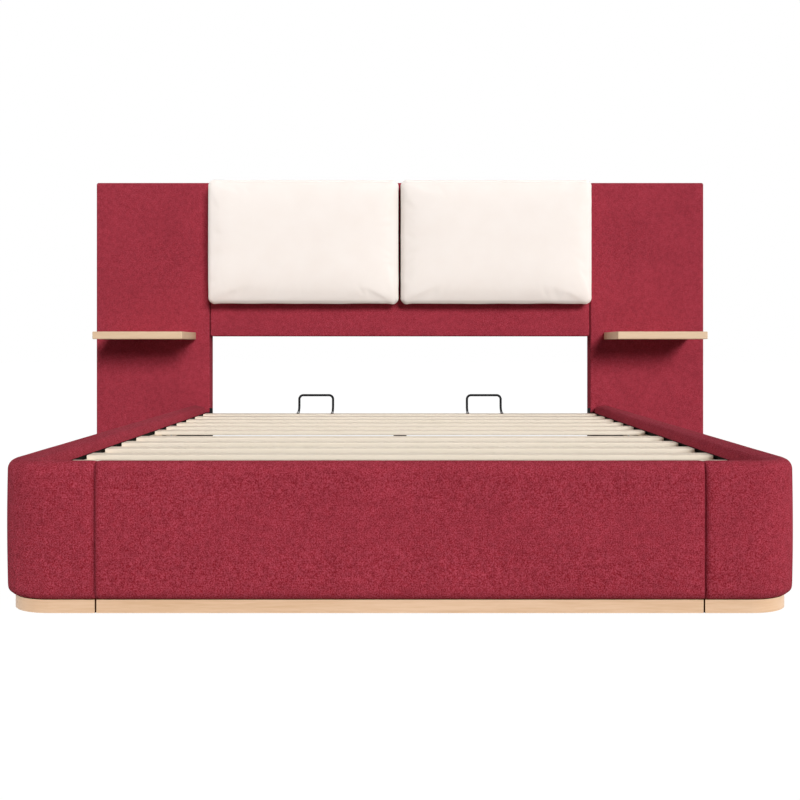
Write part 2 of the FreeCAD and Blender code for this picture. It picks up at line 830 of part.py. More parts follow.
def cushion_outline(y, inset):
    """One closed outline of the right cushion, with swelling long edges and round corners."""
    left = cushion_gap / 2 + inset
    right = cushion_gap / 2 + cushion_width - inset
    low = cushion_bottom + inset
    high = cushion_top - inset
    radius = cushion_corner_radius + inset * cushion_corner_growth_share
    radius = min(radius, cushion_corner_limit_share * (high - low))
    middle_x = (left + right) / 2
    middle_z = (low + high) / 2
    snip = radius * (1 - math.sqrt(0.5))
    swell_low = low - cushion_bottom_swell
    swell_high = high + cushion_top_swell
    drawn_left = left + cushion_side_draw
    drawn_right = right - cushion_side_draw
    sides = [
        ((left + radius, low), (middle_x, swell_low), (right - radius, low)),
        ((right - radius, low), (right - snip, low + snip), (right, low + radius)),
        ((right, low + radius), (drawn_right, middle_z), (right, high - radius)),
        ((right, high - radius), (right - snip, high - snip), (right - radius, high)),
        ((right - radius, high), (middle_x, swell_high), (left + radius, high)),
        ((left + radius, high), (left + snip, high - snip), (left, high - radius)),
        ((left, high - radius), (drawn_left, middle_z), (left, low + radius)),
        ((left, low + radius), (left + snip, low + snip), (left + radius, low)),
    ]
    arcs = [Part.Arc(*[point(x, y, z) for x, z in side]) for side in sides]
    return Part.Wire([arc.toShape() for arc in arcs])


def cushion():
    """Loft from the flat back of the right cushion to its crown."""
    back = head_front - 2 * strip_thickness - 2 * strip_room
    outlines = []
    for depth_share, inset_share in zip(cushion_depth_shares, cushion_inset_shares):
        inset = inset_share * (cushion_top - cushion_bottom)
        outlines.append(cushion_outline(back - depth_share * cushion_thickness, inset))
    return Part.makeLoft(outlines, True, False, False, cushion_loft_degree)


def strips(back_y):
    """Two level strips behind the right cushion, with their backs at one place."""
    middle_x = (cushion_gap + cushion_width) / 2
    heights = (cushion_bottom + strip_inset, cushion_top - strip_inset)
    pieces = []
    for height in heights:
        low = point(middle_x - strip_length / 2, back_y - strip_thickness, height - strip_height / 2)
        pieces.append(block(low, point(middle_x + strip_length / 2, back_y, height + strip_height / 2)))
    return pieces


# Every node of the part


def paired(name, shape):
    return {name + "_right": shape, name + "_left": other_side(shape)}


def group(shapes):
    return Part.makeCompound(shapes)


def fastener_nodes():
    wing_bolts = [bolt(seat, -headward, rail_bolt_length) for seat in rail_end_bolts()]
    headboard_bolts = [bolt(seat, -headward, bolt_grip) for seat in back_plate_bolts()]
    base_bolts = [bolt(seat, across, bolt_grip) for seat in flange_bolts()]
    base_bolts += [bolt(seat, -headward, bolt_grip) for seat in foot_plate_bolts()]
    hanging_bolts = [bolt(seat, -headward, bolt_grip) for seat in hanger_bolts()]
    strip_screws = [screw(seat, across, ledger_screw_length) for seat in ledger_screws()]
    deck_screws = [screw(seat, -up, slat_screw_length) for seat in slat_screws()]
    short_screws = both_sides([screw(seat, -up, short_screw_length) for seat in stop_screws()])
    short_screws += [screw(seat, up, short_screw_length) for seat in leg_screws()]
    return {
        "rail_end_bolts": group(both_sides(wing_bolts)),
        "headboard_bolts": group(both_sides(headboard_bolts)),
        "base_bolts": group(both_sides(base_bolts) + hanging_bolts),
        "ledger_screws": group(both_sides(strip_screws)),
        "slat_screws": group(both_sides(deck_screws)),
        "short_screws": group(short_screws),
    }


def base_nodes():
    nodes = {}
    nodes.update(paired("rail_frame", rail_frame()))
    nodes.update(paired("rail_cover", rail_cover()))
    nodes["rail_linings"] = group(both_sides([rail_lining()]))
    nodes.update(paired("rail_plinth", rail_plinth()))
    nodes.update(paired("ledger", ledger()))
    nodes["foot_panel_frame"] = foot_panel_frame()
    nodes["foot_panel_cover"] = along_foot_panel(cover_section())
    nodes["foot_panel_lining"] = foot_panel_lining()
    nodes["foot_panel_plinth"] = along_foot_panel(plinth_section())
    nodes["foot_panel_plates"] = group(both_sides([foot_plate()]))
    nodes["rail_brackets"] = group(both_sides([rail_bracket()]))
    for number, slat_front in enumerate(slat_fronts(), 1):
        nodes[f"slat_{number:02d}"] = slat(slat_front)
    nodes.update(paired("mattress_stop", mattress_stop()))
    nodes["centre_beam"] = centre_beam()
    nodes["beam_hanger"] = beam_hanger()
    for place, leg_y in zip(("middle", "head"), leg_places):
        nodes["beam_leg_" + place] = beam_leg(leg_y)
        nodes["levelling_foot_" + place] = levelling_foot(leg_y)
    return nodes


def headboard_nodes():
    nodes = {}
    nodes.update(paired("wing_frame", wing_frame()))
    nodes.update(paired("wing_cover", wing_cover()))
    nodes["wing_linings"] = group(both_sides([wing_lining()]))
    nodes["wing_glides"] = group(both_sides(wing_glides()))
    nodes["centre_frame"] = centre_frame()
    nodes["centre_cover"] = centre_cover()
    nodes["centre_lining"] = centre_lining()
    nodes["headboard_plates"] = group(both_sides(back_plates()))
    nodes.update(paired("shelf", shelf()))
    nodes["shelf_rods"] = group(both_sides([shelf_rod(x) for x in shelf_rod_places()]))
    nodes.update(paired("cushion", cushion()))
    nodes["hook_strips"] = group(both_sides(strips(head_front)))
    loop_back = head_front - strip_thickness - strip_room
    nodes.update(paired("loop_strips", group(strips(loop_back))))
    return nodes


def main():
    os.makedirs("parts", exist_ok=True)
    nodes = {}
    nodes.update(base_nodes())
    nodes.update(headboard_nodes())
    nodes.update(fastener_nodes())
    for name, shape in nodes.items():
        shape.exportStep(f"parts/{name}.step")
        print(name, len(shape.Solids), round(shape.Volume), shape.isValid())
    print(len(nodes), "nodes")


main()
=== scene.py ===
# %% [markdown]
# An upholstered platform bed, dressed over its frame.
# The solid model of the bed is loaded first and stays where it is. The lesson then adds what a
# solid model lacks: padded covers with rolled seams, soft cushions, and a finish for every surface.
# Lengths are metres. X runs across the bed, Y from its foot to its head, and Z is up.

# %% The frame
import json
import math
import bmesh
import bpy
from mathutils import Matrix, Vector, noise


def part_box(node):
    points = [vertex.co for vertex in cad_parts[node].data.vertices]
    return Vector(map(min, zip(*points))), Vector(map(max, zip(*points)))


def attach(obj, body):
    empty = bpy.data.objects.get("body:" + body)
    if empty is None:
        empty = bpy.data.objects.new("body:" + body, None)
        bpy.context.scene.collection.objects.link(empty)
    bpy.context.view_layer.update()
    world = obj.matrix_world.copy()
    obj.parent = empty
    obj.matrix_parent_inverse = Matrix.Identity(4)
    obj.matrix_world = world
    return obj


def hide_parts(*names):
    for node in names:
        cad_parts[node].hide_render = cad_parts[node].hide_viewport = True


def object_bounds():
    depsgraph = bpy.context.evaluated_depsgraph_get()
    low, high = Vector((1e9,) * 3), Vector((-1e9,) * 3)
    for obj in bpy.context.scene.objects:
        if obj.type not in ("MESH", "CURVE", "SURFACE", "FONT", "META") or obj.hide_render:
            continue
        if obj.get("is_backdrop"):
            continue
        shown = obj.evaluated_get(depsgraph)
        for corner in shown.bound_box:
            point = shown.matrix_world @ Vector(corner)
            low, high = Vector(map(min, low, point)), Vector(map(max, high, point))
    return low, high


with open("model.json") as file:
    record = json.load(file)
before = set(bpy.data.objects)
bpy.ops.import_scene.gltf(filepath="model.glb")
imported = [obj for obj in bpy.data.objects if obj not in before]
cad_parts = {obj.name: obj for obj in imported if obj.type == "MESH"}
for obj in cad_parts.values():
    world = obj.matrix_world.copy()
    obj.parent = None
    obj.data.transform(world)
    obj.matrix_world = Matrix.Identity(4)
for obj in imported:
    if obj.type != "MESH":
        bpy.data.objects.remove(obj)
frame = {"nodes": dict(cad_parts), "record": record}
cad_low, cad_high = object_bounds()
mm = 0.001
print("CAD box", [round(v, 4) for v in (*cad_low, *cad_high)])

# %% [markdown]
# Camera. The photograph's upright edges are parallel, so the camera is level, and its sight line
# lies above the middle of the picture, so the sensor is shifted down instead of the camera tilting.

# %% Camera
camera_back = 2.276
camera_height = 0.553
picture_size = 800
horizon_above_middle = 55
camera_data = bpy.data.cameras.new("camera")
camera_data.lens = 50
camera_data.sensor_width = 36
camera_data.shift_y = -horizon_above_middle / picture_size
camera = bpy.data.objects.new("camera", camera_data)
camera.location = (0, cad_low.y - camera_back, camera_height)
camera.rotation_euler = (math.radians(90), 0, 0)
bpy.context.scene.collection.objects.link(camera)
bpy.context.scene.camera = camera
print("camera at", [round(v, 3) for v in camera.location])

# %% [markdown]
# Light. Three softboxes: a strong one in front, low and to the right, which throws the shadows that
# the shelves leave on the wings, and a weak one high on each side. Area lamps would do, but they fall
# off along the bed. A sun lamp with a wide angle gives the same soft edge and stays even.

# %% Light
softboxes = {"front_softbox": {"right": 17, "up": 18, "spread": 18, "strength": 2.92},
             "right_softbox": {"right": 94, "up": 27, "spread": 50, "strength": 1.5},
             "left_softbox": {"right": -94, "up": 24, "spread": 50, "strength": 1.35}}
for name, box in softboxes.items():
    lamp_data = bpy.data.lights.new(name, "SUN")
    lamp_data.energy = box["strength"]
    lamp_data.angle = math.radians(box["spread"])
    lamp = bpy.data.objects.new(name, lamp_data)
    lamp.rotation_euler = (math.radians(90 - box["up"]), 0, math.radians(box["right"]))
    bpy.context.scene.collection.objects.link(lamp)
bpy.context.scene.view_settings.view_transform = "Standard"
print("lamps", *softboxes)

# %% [markdown]
# Colours are written as the hex values that an eye sees on a screen, and one function turns them
# to the linear values that a shader needs. One more function adds a node: its settings, its
# numbers and its links. Every material below is made with these two.


# %% Colour and node helpers
def paint(hex_code):
    """A linear colour from an sRGB hex value."""
    parts = [int(hex_code[i:i + 2], 16) / 255 for i in (1, 3, 5)]
    linear = [p / 12.92 if p <= 0.04045 else ((p + 0.055) / 1.055) ** 2.4 for p in parts]
    return (*linear, 1)


def add_node(tree, kind, sockets=None, **settings):
    """A new node with its settings. A socket takes a number, a colour or another node's output."""
    node = tree.nodes.new("ShaderNode" + kind)
    for name, value in settings.items():
        setattr(node, name, value)
    for name, value in (sockets or {}).items():
        if isinstance(value, bpy.types.NodeSocket):
            tree.links.new(value, node.inputs[name])
        else:
            node.inputs[name].default_value = value
    return node


def new_material(name):
    """An empty material with one shader, and that shader."""
    material = bpy.data.materials.new(name)
    material.use_nodes = True
    return material, material.node_tree, material.node_tree.nodes["Principled BSDF"]


print("white paint is", paint("#FFFFFF"))

# %% [markdown]
# Stage. The floor and the surroundings look white, as in a catalogue picture. To the camera, and to
# anything glossy, most of the floor's light is a plain glow, and the rest is a real surface that
# keeps the bed's shadow. The glow makes up what the lit surface lacks of white.

# %% Stage
floor_size = 60
floor_white_share = 0.82
floor_glow_strength = 1.188
studio_glow = 0.04


def seen_directly(tree):
    """1 for what the camera, a reflection or a see-through surface looks at, and 0 for other light."""
    path = add_node(tree, "LightPath").outputs
    either = add_node(tree, "Math", {0: path["Is Camera Ray"], 1: path["Is Glossy Ray"]},
                      operation="MAXIMUM")
    return add_node(tree, "Math", {0: either.outputs[0], 1: path["Is Transmission Ray"]},
                    operation="MAXIMUM").outputs[0]


world = bpy.data.worlds.new("studio")
world.use_nodes = True
world_tree = world.node_tree
world_strength = add_node(world_tree, "MapRange", {"Value": seen_directly(world_tree),
                                                   "To Min": studio_glow})
world_light = world_tree.nodes["Background"]
world_light.inputs["Color"].default_value = paint("#FFFFFF")
world_tree.links.new(world_strength.outputs[0], world_light.inputs["Strength"])
bpy.context.scene.world = world

floor_paint, floor_tree, floor_shader = new_material("white_studio_floor")
floor_shader.inputs["Base Color"].default_value = paint("#84827E")
floor_shader.inputs["Roughness"].default_value = 0.9
floor_glow = add_node(floor_tree, "Emission", {"Color": paint("#FFFFFF"), "Strength": floor_glow_strength})
floor_share = add_node(floor_tree, "Math", {0: seen_directly(floor_tree), 1: floor_white_share},
                       operation="MULTIPLY")
floor_mix = add_node(floor_tree, "MixShader", {0: floor_share.outputs[0], 1: floor_shader.outputs[0],
                                               2: floor_glow.outputs[0]})
floor_tree.links.new(floor_mix.outputs[0], floor_tree.nodes["Material Output"].inputs["Surface"])

floor_mesh = bpy.data.meshes.new("studio_floor")
reach = floor_size / 2
floor_mesh.from_pydata([(-reach, -reach, 0), (reach, -reach, 0), (reach, reach, 0), (-reach, reach, 0)], [],
                       [(0, 1, 2, 3)])
floor_mesh.materials.append(floor_paint)
floor = bpy.data.objects.new("studio_floor", floor_mesh)
bpy.context.scene.collection.objects.link(floor)
floor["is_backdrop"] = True
print("floor of", floor_size, "metres")

# %% [markdown]
# Red upholstery cloth. The real cloth is a chunky woven polyester: thick yarns over and under each
# other, with little slubs where a yarn swells, and tufts where slubs meet. From two metres that gives
# the eye a warm red with a fine sparkle of lighter nubs and dark pits. From further off only the tufts
# are left.
# A picture of cloth could be wrapped round the covers, but it would repeat, and blur close up. Waves
# for the threads and noise for the slubs do neither, and they can lift the surface as well as tint it.
# The threads follow a map of the cloth in metres, named cloth, that each cover is given when it is
# cut. A yarn of the real width would vanish at this distance, so the slubs are drawn a little large.

# %% Red woven upholstery
# Bands of Blender's wave texture repeat every 2 pi / 20 of a metre at scale 1
wave_period = 2 * math.pi / 20


def woven_polyester():
    yarn = 1.7 * mm
    slub = 2.4 * mm
    tuft = 13 * mm
    patch = 160 * mm
    wobble_length = 5 * yarn
    wobble_size = 0.5 * yarn
    nub_share = 0.8
    weave_height = 0.8 * mm
    material, tree, shader = new_material("red_woven_polyester")
    cloth = add_node(tree, "UVMap", uv_map="cloth").outputs[0]
    solid = add_node(tree, "TexCoord").outputs["Object"]
    wobble = add_node(tree, "TexNoise", {"Vector": solid, "Scale": 1 / wobble_length, "Detail": 1.0})
    shift = add_node(tree, "VectorMath", {0: wobble.outputs["Color"], "Scale": wobble_size},
                     operation="SCALE")
    place = add_node(tree, "VectorMath", {0: cloth, 1: shift.outputs[0]}, operation="ADD").outputs[0]
    wave_scale = wave_period / (2 * yarn)
    warp = add_node(tree, "TexWave", {"Vector": place, "Scale": wave_scale}, bands_direction="X")
    weft = add_node(tree, "TexWave", {"Vector": place, "Scale": wave_scale}, bands_direction="Y")
    over = add_node(tree, "TexChecker", {"Vector": place, "Scale": 1 / (2 * yarn)})
    threads = add_node(tree, "Mix", {0: over.outputs["Fac"], 2: warp.outputs["Fac"], 3: weft.outputs["Fac"]})
    nubs = add_node(tree, "TexNoise", {"Vector": solid, "Scale": 1 / slub, "Detail": 3.0, "Roughness": 0.65})
    nub_lift = add_node(tree, "MapRange", {"Value": nubs.outputs["Fac"], "From Min": 0.38, "From Max": 0.62})
    tone = add_node(tree, "Mix", {0: nub_share, 2: threads.outputs[0], 3: nub_lift.outputs[0]})
    yarn_colour = add_node(tree, "Mix", {0: tone.outputs[0], 6: paint("#7C131C"), 7: paint("#B24858")},
                           data_type="RGBA")
    patches = add_node(tree, "TexNoise", {"Vector": solid, "Scale": 1 / patch, "Detail": 2.0})
    shade = add_node(tree, "MapRange", {"Value": patches.outputs["Fac"], "From Min": 0.3, "From Max": 0.7,
                                        "To Min": 0.95, "To Max": 1.04})
    tufts = add_node(tree, "TexNoise", {"Vector": solid, "Scale": 1 / tuft, "Detail": 1.0})
    fleck = add_node(tree, "MapRange", {"Value": tufts.outputs["Fac"], "From Min": 0.3, "From Max": 0.7,
                                        "To Min": 0.905, "To Max": 1.095})
    value = add_node(tree, "Math", {0: shade.outputs[0], 1: fleck.outputs[0]}, operation="MULTIPLY")
    colour = add_node(tree, "HueSaturation", {"Color": yarn_colour.outputs[2], "Value": value.outputs[0]})
    tree.links.new(colour.outputs[0], shader.inputs["Base Color"])
    bump = add_node(tree, "Bump", {"Height": tone.outputs[0], "Distance": weave_height, "Strength": 0.8})
    tree.links.new(bump.outputs[0], shader.inputs["Normal"])
    shader.inputs["Roughness"].default_value = 0.92
    shader.inputs["Specular IOR Level"].default_value = 0.02
    shader.inputs["Sheen Weight"].default_value = 0.03
    shader.inputs["Sheen Roughness"].default_value = 0.45
    shader.inputs["Sheen Tint"].default_value = paint("#E8B4BC")
    return material


red_cloth = woven_polyester()
print("made", red_cloth.name)

# %% [markdown]
# Section of the padded base. The rails and the foot panel share one padded section: a round lower
# edge, a flat face, a generous roll over the top and a tight one down to the slats. A bevelled box
# would round every edge alike, so the section is drawn instead, as points in from the outer face and
# up. Each point has the direction that the cloth faces there, so that the same section can be swept
# along a rail or pulled in towards a seam.

# %% Sizes of the padded base
rail_low, rail_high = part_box("rail_cover_right")
foot_low, foot_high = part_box("foot_panel_cover")
slat_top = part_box("slat_01")[1].z
plinth_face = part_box("foot_panel_plinth")[0].y - foot_low.y
side_x = rail_high.x
front_y = rail_low.y
rail_thickness = 66 * mm
corner_radius = 110 * mm
top_roll = 24 * mm
top_sag = 1.5 * mm
top_fall = 8
bottom_roll = 19 * mm
bottom_droop = 1.2 * mm
plinth_gap = 0.4 * mm
inner_roll = 18 * mm
face_crown = 2 * mm
outer_pad = 12 * mm
inner_pad = 6 * mm
core_top_roll = 20 * mm
core_bottom_roll = 14 * mm
print("base", round(2 * side_x, 3), "wide and", round(rail_high.z, 3), "high")


# %% Padded section
def arc(centre, radius, start, stop, steps):
    """(place, facing) pairs along an arc between two angles in degrees."""
    pairs = []
    for i in range(steps + 1):
        turn = math.radians(start + (stop - start) * i / steps)
        facing = Vector((math.cos(turn), math.sin(turn)))
        pairs.append((Vector(centre) + radius * facing, facing))
    return pairs


def flat(start, stop, steps, facing):
    """(place, facing) pairs along a straight stretch, without its two ends."""
    shares = [i / steps for i in range(1, steps)]
    return [(Vector(start).lerp(Vector(stop), share), Vector(facing)) for share in shares]


def padded_section():
    """The cover's outside as (place, facing) pairs, and its hidden inside as plain places."""
    low = rail_low.z
    high = rail_high.z
    inner = rail_thickness
    shoulder = high - top_sag - top_roll
    crest = arc((top_roll, shoulder), top_roll, 180, 90 - top_fall, steps=10)
    inner_centre = inner - inner_roll
    drop = math.tan(math.radians(top_fall)) * (inner_centre - top_roll)
    inner_shoulder = shoulder + (top_roll - inner_roll) / math.cos(math.radians(top_fall)) - drop
    skirt = low - bottom_droop + bottom_roll
    skin = arc((bottom_roll, skirt), bottom_roll, 270, 180, steps=7)
    skin += flat((0, skirt), (0, shoulder), steps=14, facing=(-1, 0))
    skin += crest
    skin += arc((inner_centre, inner_shoulder), inner_roll, 90 - top_fall, 0, steps=7)
    skin.append((Vector((inner, slat_top)), Vector((1, 0))))
    middle = (low + high) / 2
    for place, facing in skin:
        if place.x < top_roll:
            place.x -= face_crown * (1 - ((place.y - middle) / (high - middle)) ** 2)
    core = inner - inner_pad
    core_high = high - outer_pad
    core_shoulder = (outer_pad + core_top_roll, core_high - core_top_roll)
    inside = [Vector((core, slat_top)), Vector((core, core_high))]
    inside += [place for place, facing in arc(core_shoulder, core_top_roll, 90, 180, steps=6)]
    core_foot = (outer_pad + core_bottom_roll, low + core_bottom_roll)
    inside += [place for place, facing in arc(core_foot, core_bottom_roll, 180, 270, steps=4)]
    inside.append(Vector((plinth_face - plinth_gap, low)))
    return skin, inside


skin_pairs, inside_places = padded_section()
print("section of", len(skin_pairs), "points outside and", len(inside_places), "inside")

# %% [markdown]
# Sweeping the covers. A cover could be a box with a bevel, but then the cloth would neither turn the
# corner nor roll into the seams. Here the section travels along a path, step by step. Close to an
# end it is pulled in along an arc, which gives the rolled edge that two padded panels show where they
# meet. The face is pulled most, because the foam there is thickest. A slow, shallow noise keeps the
# foam from looking machined.

# %% Rolls and foam
head_roll = {"radius": 6 * mm, "turn": 90}
seam_roll = {"radius": 13 * mm, "turn": 78}
sweep_step = 26 * mm
foam_wave = 0.7 * mm
foam_wave_length = 190 * mm
roll_shares = (0, 0.04, 0.14, 0.3, 0.5, 0.75, 1)


def roll_reach(roll):
    """How far from the end of a cover a roll starts."""
    return roll["radius"] * math.sin(math.radians(roll["turn"]))


def rolled_in(distance, roll):
    """How far the cloth is pulled in at a distance from its end."""
    into = max(0, roll_reach(roll) - distance)
    return roll["radius"] - math.sqrt(roll["radius"] ** 2 - into ** 2)


def sweep_distances(length, rolls):
    """Steps along a path, closer together in the rolls at its two ends."""
    first, last = (roll_reach(roll) for roll in rolls)
    middle = length - first - last
    count = math.ceil(middle / sweep_step)
    even = [first + middle * i / count for i in range(1, count)]
    start = [share * first for share in roll_shares]
    stop = [length - share * last for share in reversed(roll_shares)]
    return start + even + stop


def foam_dip(place):
    """A shallow dip that changes slowly over the surface."""
    return foam_wave * (0.5 + 0.5 * noise.noise(place / foam_wave_length))


print(len(sweep_distances(1.0, (seam_roll, seam_roll))), "steps on a metre of cover")

# %% Sweep along a path
least_pull = 0.25
sharp_turn = 50


def new_piece(name, mesh, material):
    """An object in the scene from a mesh, smooth but for its sharp edges."""
    mesh.materials.append(material)
    mesh.shade_smooth()
    mesh.set_sharp_from_angle(angle=math.radians(sharp_turn))
    piece = bpy.data.objects.new(name, mesh)
    bpy.context.scene.collection.objects.link(piece)
    return piece


def swept_cover(name, path, length, rolls, side=1):
    """A closed padded cover along a path. The path gives a place and a facing at each distance."""
    bm = bmesh.new()
    cloth = bm.loops.layers.uv.new("cloth")
    distances = sweep_distances(length, rolls)
    places = [place for place, facing in skin_pairs] + inside_places
    around = [0]
    for last, place in zip(places, places[1:] + places[:1]):
        around.append(around[-1] + (place - last).length)
    rows = []
    for distance in distances:
        start, outward = path(distance)
        pull = max(rolled_in(distance, rolls[0]), rolled_in(length - distance, rolls[1]))
        row = []
        for i, place in enumerate(places):
            inset, height = place
            if i < len(skin_pairs):
                facing = skin_pairs[i][1]
                dip = pull * max(-facing.x, least_pull)
                dip += foam_dip(Vector((start.x * side, start.y, height)))
                inset -= facing.x * dip
                height -= facing.y * dip
            spot = start - outward * inset
            row.append(bm.verts.new((spot.x * side, spot.y, height)))
        rows.append(row)
    for i, (row, next_row) in enumerate(zip(rows, rows[1:])):
        for j in range(len(places)):
            k = (j + 1) % len(places)
            face = bm.faces.new((row[j], next_row[j], next_row[k], row[k]))
            corners = [(i, j), (i + 1, j), (i + 1, j + 1), (i, j + 1)]
            for loop, (along, up) in zip(face.loops, corners):
                loop[cloth].uv = (distances[along], around[up])
    bm.faces.new(rows[0])
    bm.faces.new(rows[-1])
    bmesh.ops.recalc_face_normals(bm, faces=bm.faces)
    mesh = bpy.data.meshes.new(name)
    bm.to_mesh(mesh)
    bm.free()
    return new_piece(name, mesh, red_cloth)


print("a seam pulls the cloth in by", round(rolled_in(0, seam_roll) / mm, 1), "mm")

# %% [markdown]
# Covers of the base. A rail cover runs from the headboard down the side, round the front corner and
# along a short return, and the other rail's cover is its mirror image. The foot cover lies between the
# two returns. Each rail could be built as three covers, but seams would then show at its corner. One
# path of a straight, an arc and a straight gives one length of cloth, as on the real bed.

# %% Covers of the base
corner_x = side_x - corner_radius
corner_y = front_y + corner_radius
straight_length = rail_high.y - corner_y
corner_length = corner_radius * math.pi / 2
seam_slit = 0.2 * mm
seam_reach = (rail_low.x - foot_high.x - seam_slit) / 2
return_length = corner_x - rail_low.x + seam_reach
foot_length = foot_high.x - foot_low.x + 2 * seam_reach


def rail_path(distance):
    """From the head end down the right side, round the front corner and along the return."""
    if distance <= straight_length:
        return Vector((side_x, rail_high.y - distance)), Vector((1, 0))
    turn = (distance - straight_length) / corner_radius
    if turn <= math.pi / 2:
        outward = Vector((math.cos(turn), -math.sin(turn)))
        return Vector((corner_x, corner_y)) + corner_radius * outward, outward
    along = distance - straight_length - corner_length
    return Vector((corner_x - along, front_y)), Vector((0, -1))


def foot_path(distance):
    """From the right seam to the left one."""
    return Vector((foot_high.x + seam_reach - distance, front_y)), Vector((0, -1))


def dress(piece, node, body="bed"):
    """Puts a padded piece in place of its CAD node."""
    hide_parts(node)
    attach(piece, body)


rail_length = straight_length + corner_length + return_length
rail_rolls = (head_roll, seam_roll)
dress(swept_cover("rail_upholstery_right", rail_path, rail_length, rail_rolls), "rail_cover_right")
dress(swept_cover("rail_upholstery_left", rail_path, rail_length, rail_rolls, side=-1), "rail_cover_left")
dress(swept_cover("foot_upholstery", foot_path, foot_length, (seam_roll, seam_roll)), "foot_panel_cover")
print("rail covers of", round(rail_length, 3), "metres")

# %% [markdown]
# Headboard covers. The wings and the centre panel are flat boards wrapped in thin foam. A closed box
# would look the same from the front, but it would fill the timber that it wraps. So each cover is a
# tray: an outer box and an inner box with a rim between them at the open back. The outer edges are
# bevelled to the roll of the foam, and cuts across the tray give the front room for its slow waves.

# %% Boxes and their cloth
tray_sides = {"left": (0, 4, 6, 2), "right": (1, 3, 7, 5), "front": (0, 1, 5, 4),
              "back": (2, 6, 7, 3), "bottom": (0, 2, 3, 1), "top": (4, 5, 7, 6)}


def box_corners(bm, low, high):
    """Eight vertices of a box, X changing first, then Y, then Z."""
    return [bm.verts.new((x, y, z))
            for z in (low.z, high.z) for y in (low.y, high.y) for x in (low.x, high.x)]


def lay_cloth(bm):
    """Maps the cloth in metres, across and up each face."""
    cloth = bm.loops.layers.uv.new("cloth")
    for face in bm.faces:
        x, y, z = (abs(part) for part in face.normal)
        for loop in face.loops:
            place = loop.vert.co
            if y >= max(x, z):
                loop[cloth].uv = (place.x, place.z)
            elif x >= z:
                loop[cloth].uv = (place.y, place.z)
            else:
                loop[cloth].uv = (place.x, place.y)


print("a tray has", len(tray_sides), "sides before it is opened")

# %% Tray-shaped covers
front_pad = 10 * mm
side_pad = 6 * mm
panel_roll = 8 * mm
tray_step = 45 * mm


def tray_cover(name, low, high, open_sides):
    """A padded cover round a board, open at the named sides."""
    core_low = low + Vector((side_pad, front_pad, 0 if "bottom" in open_sides else side_pad))
    core_high = high - Vector((side_pad, 0, side_pad))
    bm = bmesh.new()
    outer = box_corners(bm, low, high)
    inner = box_corners(bm, core_low, core_high)
    closed_edges = {}
    for side, ring in tray_sides.items():
        edges = [frozenset((ring[i - 1], ring[i])) for i in range(4)]
        for edge in edges:
            closed_edges.setdefault(edge, []).append(side not in open_sides)
        if side not in open_sides:
            bm.faces.new([outer[i] for i in ring])
            bm.faces.new([inner[i] for i in reversed(ring)])
    for edge, closed in closed_edges.items():
        if any(closed) and not all(closed):
            a, b = edge
            bm.faces.new((outer[a], outer[b], inner[b], inner[a]))
    soft = [bm.edges.get([outer[i] for i in edge]) for edge, closed in closed_edges.items() if all(closed)]
    bmesh.ops.recalc_face_normals(bm, faces=bm.faces)
    bmesh.ops.bevel(bm, geom=soft, offset=panel_roll, segments=6, profile=0.5, affect="EDGES")
    for axis, start, stop in ((0, low.x, high.x), (2, low.z, high.z)):
        count = round((stop - start) / tray_step)
        for i in range(1, count):
            cut = Vector((0, 0, 0))
            cut[axis] = start + (stop - start) * i / count
            normal = Vector((0, 0, 0))
            normal[axis] = 1
            whole = bm.verts[:] + bm.edges[:] + bm.faces[:]
            bmesh.ops.bisect_plane(bm, geom=whole, plane_co=cut, plane_no=normal)
    for vert in bm.verts:
        if vert.co.y < low.y + foam_wave:
            vert.co.y += foam_dip(vert.co)
    bm.normal_update()
    lay_cloth(bm)
    mesh = bpy.data.meshes.new(name)
    bm.to_mesh(mesh)
    bm.free()
    return new_piece(name, mesh, red_cloth)


for side in ("left", "right"):
    wing = tray_cover(f"wing_upholstery_{side}", *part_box(f"wing_cover_{side}"), ("back", "bottom"))
    dress(wing, f"wing_cover_{side}")
centre = tray_cover("centre_upholstery", *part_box("centre_cover"), ("back",))
dress(centre, "centre_cover")
print("tray covers with", len(wing.data.polygons), "and", len(centre.data.polygons), "faces")

# %% [markdown]
# Cream cushion cloth. A smooth brushed cotton twill, bleached to a warm cream. Its threads are too
# fine to see from here, so the eye gets a matt, even surface with a soft bloom at its edges. One plain
# colour would nearly do, but it would look like plastic close up. The twill is drawn at a millimetre
# and a half, which is coarser than life, so that it shows there.


